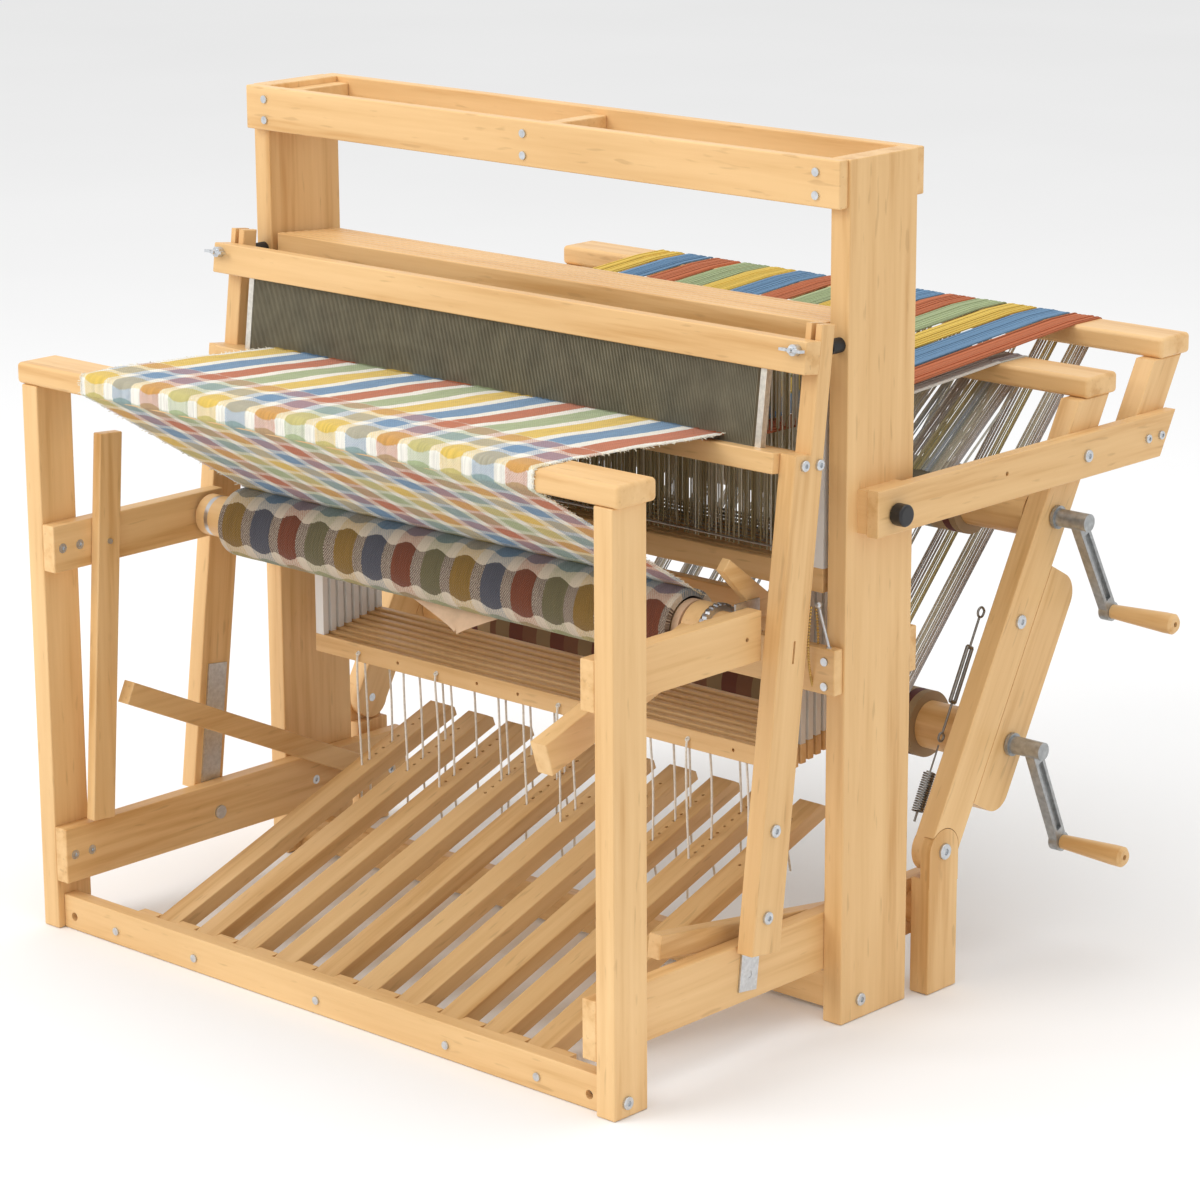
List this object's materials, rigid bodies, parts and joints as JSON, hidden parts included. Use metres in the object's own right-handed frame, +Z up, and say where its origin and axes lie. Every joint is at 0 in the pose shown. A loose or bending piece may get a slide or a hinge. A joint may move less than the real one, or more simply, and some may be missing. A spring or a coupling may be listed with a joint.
{
  "type": "floor loom",
  "caption": "Folding wooden floor loom with treadles, shafts, beater, cranked warp beams and striped cloth in progress.",
  "frame": {"origin": "on the floor, under the middle of the foot bar, on the loom's plane of symmetry", "axes": "+X to the weaver's right, +Y from the breast beam to the back beams, +Z up"},
  "size_m": [1.068, 0.9777, 0.934],
  "materials": {
    "maple": "satin clear finish",
    "treadle_maple": "satin clear finish",
    "steel": "zinc plated",
    "cast_alloy": "cast, sand blasted",
    "black_plastic": "matt",
    "cotton": "woven stripes",
    "reed_steel": "fine dents"
  },
  "bodies": {
    "frame": {"front_posts": "maple", "foot_bar": "maple", "breast_beam": "maple", "upper_side_rails": "maple", "lower_side_rails": "maple", "castle_post_left": "maple", "castle_post_right": "maple", "castle_top_rails": "maple", "castle_mid_rails": "maple", "castle_stretcher": "maple", "rear_legs": "maple", "frame_spacers": "maple", "frame_hardware": "steel", "cloth": "cotton"},
    "treadle_1_body": {"treadle_1": "treadle_maple"},
    "treadle_2_body": {"treadle_2": "treadle_maple"},
    "treadle_3_body": {"treadle_3": "treadle_maple"},
    "treadle_4_body": {"treadle_4": "treadle_maple"},
    "treadle_5_body": {"treadle_5": "treadle_maple"},
    "treadle_6_body": {"treadle_6": "treadle_maple"},
    "treadle_7_body": {"treadle_7": "treadle_maple"},
    "treadle_8_body": {"treadle_8": "treadle_maple"},
    "treadle_9_body": {"treadle_9": "treadle_maple"},
    "treadle_10_body": {"treadle_10": "treadle_maple"},
    "shaft_1_body": {"shaft_1": "maple"},
    "shaft_2_body": {"shaft_2": "maple"},
    "shaft_3_body": {"shaft_3": "maple"},
    "shaft_4_body": {"shaft_4": "maple"},
    "shaft_5_body": {"shaft_5": "maple"},
    "shaft_6_body": {"shaft_6": "maple"},
    "shaft_7_body": {"shaft_7": "maple"},
    "shaft_8_body": {"shaft_8": "maple"},
    "beater": {"beater_swords": "maple", "race_board": "maple", "reed": "reed_steel", "beater_hardware": "steel"},
    "cap": {"reed_cap": "maple", "cap_nuts": "steel"},
    "cloth_beam_body": {"cloth_beam": "maple", "cloth_roll": "cotton"},
    "advance_lever_body": {"advance_lever": "maple"},
    "pawl_lever_body": {"pawl_lever": "maple"},
    "brake_pedal_left_body": {"brake_pedal_left": "maple"},
    "brake_pedal_right_body": {"brake_pedal_right": "maple"},
    "prop_bar_body": {"prop_bar": "maple"},
    "rear_frame": {"rear_uprights": "maple", "brace_boards": "maple", "rear_side_boards": "maple", "inner_back_beam": "maple", "outer_back_beam": "maple", "rear_hardware": "steel", "warp": "cotton"},
    "knob_left": {"brace_knob_left": "black_plastic"},
    "knob_right": {"brace_knob_right": "black_plastic"},
    "upper_warp_beam_body": {"upper_warp_beam": "maple", "upper_crank": "cast_alloy"},
    "lower_warp_beam_body": {"lower_warp_beam": "maple", "lower_crank": "cast_alloy"},
    "upper_handle": {"upper_crank_handle": "maple"},
    "lower_handle": {"lower_crank_handle": "maple"}
  },
  "joints": [
    {"name": "treadle_1_press", "type": "hinge", "parent": "frame", "child": "treadle_1_body", "pos_m": [0, 0.0275, 0.0145], "axis": [-1, 0, 0], "range_deg": [0, 12.5], "stiffness_Nm_per_rad": 2, "springref_deg": -28.65},
    {"name": "treadle_2_press", "type": "hinge", "parent": "frame", "child": "treadle_2_body", "pos_m": [0, 0.0275, 0.0145], "axis": [-1, 0, 0], "range_deg": [0, 12.5], "stiffness_Nm_per_rad": 2, "springref_deg": -28.65},
    {"name": "treadle_3_press", "type": "hinge", "parent": "frame", "child": "treadle_3_body", "pos_m": [0, 0.0275, 0.0145], "axis": [-1, 0, 0], "range_deg": [0, 12.5], "stiffness_Nm_per_rad": 2, "springref_deg": -28.65},
    {"name": "treadle_4_press", "type": "hinge", "parent": "frame", "child": "treadle_4_body", "pos_m": [0, 0.0275, 0.0145], "axis": [-1, 0, 0], "range_deg": [0, 12.5], "stiffness_Nm_per_rad": 2, "springref_deg": -28.65},
    {"name": "treadle_5_press", "type": "hinge", "parent": "frame", "child": "treadle_5_body", "pos_m": [0, 0.0275, 0.0145], "axis": [-1, 0, 0], "range_deg": [0, 12.5], "stiffness_Nm_per_rad": 2, "springref_deg": -28.65},
    {"name": "treadle_6_press", "type": "hinge", "parent": "frame", "child": "treadle_6_body", "pos_m": [0, 0.0275, 0.0145], "axis": [-1, 0, 0], "range_deg": [0, 12.5], "stiffness_Nm_per_rad": 2, "springref_deg": -28.65},
    {"name": "treadle_7_press", "type": "hinge", "parent": "frame", "child": "treadle_7_body", "pos_m": [0, 0.0275, 0.0145], "axis": [-1, 0, 0], "range_deg": [0, 12.5], "stiffness_Nm_per_rad": 2, "springref_deg": -28.65},
    {"name": "treadle_8_press", "type": "hinge", "parent": "frame", "child": "treadle_8_body", "pos_m": [0, 0.0275, 0.0145], "axis": [-1, 0, 0], "range_deg": [0, 12.5], "stiffness_Nm_per_rad": 2, "springref_deg": -28.65},
    {"name": "treadle_9_press", "type": "hinge", "parent": "frame", "child": "treadle_9_body", "pos_m": [0, 0.0275, 0.0145], "axis": [-1, 0, 0], "range_deg": [0, 12.5], "stiffness_Nm_per_rad": 2, "springref_deg": -28.65},
    {"name": "treadle_10_press", "type": "hinge", "parent": "frame", "child": "treadle_10_body", "pos_m": [0, 0.0275, 0.0145], "axis": [-1, 0, 0], "range_deg": [0, 12.5], "stiffness_Nm_per_rad": 2, "springref_deg": -28.65},
    {"name": "shaft_1_lift", "type": "slide", "parent": "frame", "child": "shaft_1_body", "axis": [0, 0, 1], "range_m": [0, 0.06]},
    {"name": "shaft_2_lift", "type": "slide", "parent": "frame", "child": "shaft_2_body", "axis": [0, 0, 1], "range_m": [0, 0.06]},
    {"name": "shaft_3_lift", "type": "slide", "parent": "frame", "child": "shaft_3_body", "axis": [0, 0, 1], "range_m": [0, 0.06]},
    {"name": "shaft_4_lift", "type": "slide", "parent": "frame", "child": "shaft_4_body", "axis": [0, 0, 1], "range_m": [0, 0.06]},
    {"name": "shaft_5_lift", "type": "slide", "parent": "frame", "child": "shaft_5_body", "axis": [0, 0, 1], "range_m": [0, 0.06]},
    {"name": "shaft_6_lift", "type": "slide", "parent": "frame", "child": "shaft_6_body", "axis": [0, 0, 1], "range_m": [0, 0.06]},
    {"name": "shaft_7_lift", "type": "slide", "parent": "frame", "child": "shaft_7_body", "axis": [0, 0, 1], "range_m": [0, 0.06]},
    {"name": "shaft_8_lift", "type": "slide", "parent": "frame", "child": "shaft_8_body", "axis": [0, 0, 1], "range_m": [0, 0.06]},
    {"name": "beater_swing", "type": "hinge", "parent": "frame", "child": "beater", "pos_m": [0, 0.2165, 0.088], "axis": [1, 0, 0], "range_deg": [0, 15]},
    {"name": "reed_cap_lift", "type": "slide", "parent": "beater", "child": "cap", "axis": [0, 0.1219, 0.9925], "range_m": [0, 0.04]},
    {"name": "cloth_beam_turn", "type": "hinge", "parent": "frame", "child": "cloth_beam_body", "pos_m": [0, 0.2135, 0.452], "axis": [1, 0, 0], "continuous": true},
    {"name": "advance_lever_pump", "type": "hinge", "parent": "frame", "child": "advance_lever_body", "pos_m": [0, 0.2135, 0.452], "axis": [1, 0, 0], "range_deg": [-20, 15]},
    {"name": "pawl_release", "type": "hinge", "parent": "frame", "child": "pawl_lever_body", "pos_m": [0, 0.2475, 0.476], "axis": [-1, 0, 0], "range_deg": [0, 20]},
    {"name": "brake_pedal_left_press", "type": "hinge", "parent": "frame", "child": "brake_pedal_left_body", "pos_m": [0, 0.4365, 0.096], "axis": [1, 0, 0], "range_deg": [0, 12], "stiffness_Nm_per_rad": 1.5, "springref_deg": -28.65},
    {"name": "brake_pedal_right_press", "type": "hinge", "parent": "frame", "child": "brake_pedal_right_body", "pos_m": [0, 0.4215, 0.096], "axis": [1, 0, 0], "range_deg": [0, 5], "stiffness_Nm_per_rad": 1.5, "springref_deg": -28.65},
    {"name": "prop_bar_swing", "type": "hinge", "parent": "frame", "child": "prop_bar_body", "pos_m": [0, 0.0515, 0.452], "axis": [1, 0, 0], "range_deg": [-15, 40]},
    {"name": "rear_frame_fold", "type": "hinge", "parent": "frame", "child": "rear_frame", "pos_m": [0, 0.5007, 0.16], "axis": [1, 0, 0], "range_deg": [0, 27], "deforming": ["warp"]},
    {"name": "brace_knob_left_turn", "type": "hinge", "parent": "rear_frame", "child": "knob_left", "pos_m": [0, 0.3865, 0.562], "axis": [1, 0, 0], "continuous": true},
    {"name": "brace_knob_right_turn", "type": "hinge", "parent": "rear_frame", "child": "knob_right", "pos_m": [0, 0.3865, 0.562], "axis": [1, 0, 0], "continuous": true},
    {"name": "upper_warp_beam_turn", "type": "hinge", "parent": "rear_frame", "child": "upper_warp_beam_body", "pos_m": [0, 0.69085, 0.49994], "axis": [1, 0, 0], "continuous": true},
    {"name": "lower_warp_beam_turn", "type": "hinge", "parent": "rear_frame", "child": "lower_warp_beam_body", "pos_m": [0, 0.61668, 0.25578], "axis": [1, 0, 0], "continuous": true},
    {"name": "upper_handle_spin", "type": "hinge", "parent": "upper_warp_beam_body", "child": "upper_handle", "pos_m": [0, 0.75288, 0.38569], "axis": [1, 0, 0], "continuous": true},
    {"name": "lower_handle_spin", "type": "hinge", "parent": "lower_warp_beam_body", "child": "lower_handle", "pos_m": [0, 0.66955, 0.13702], "axis": [1, 0, 0], "continuous": true}
  ]
}
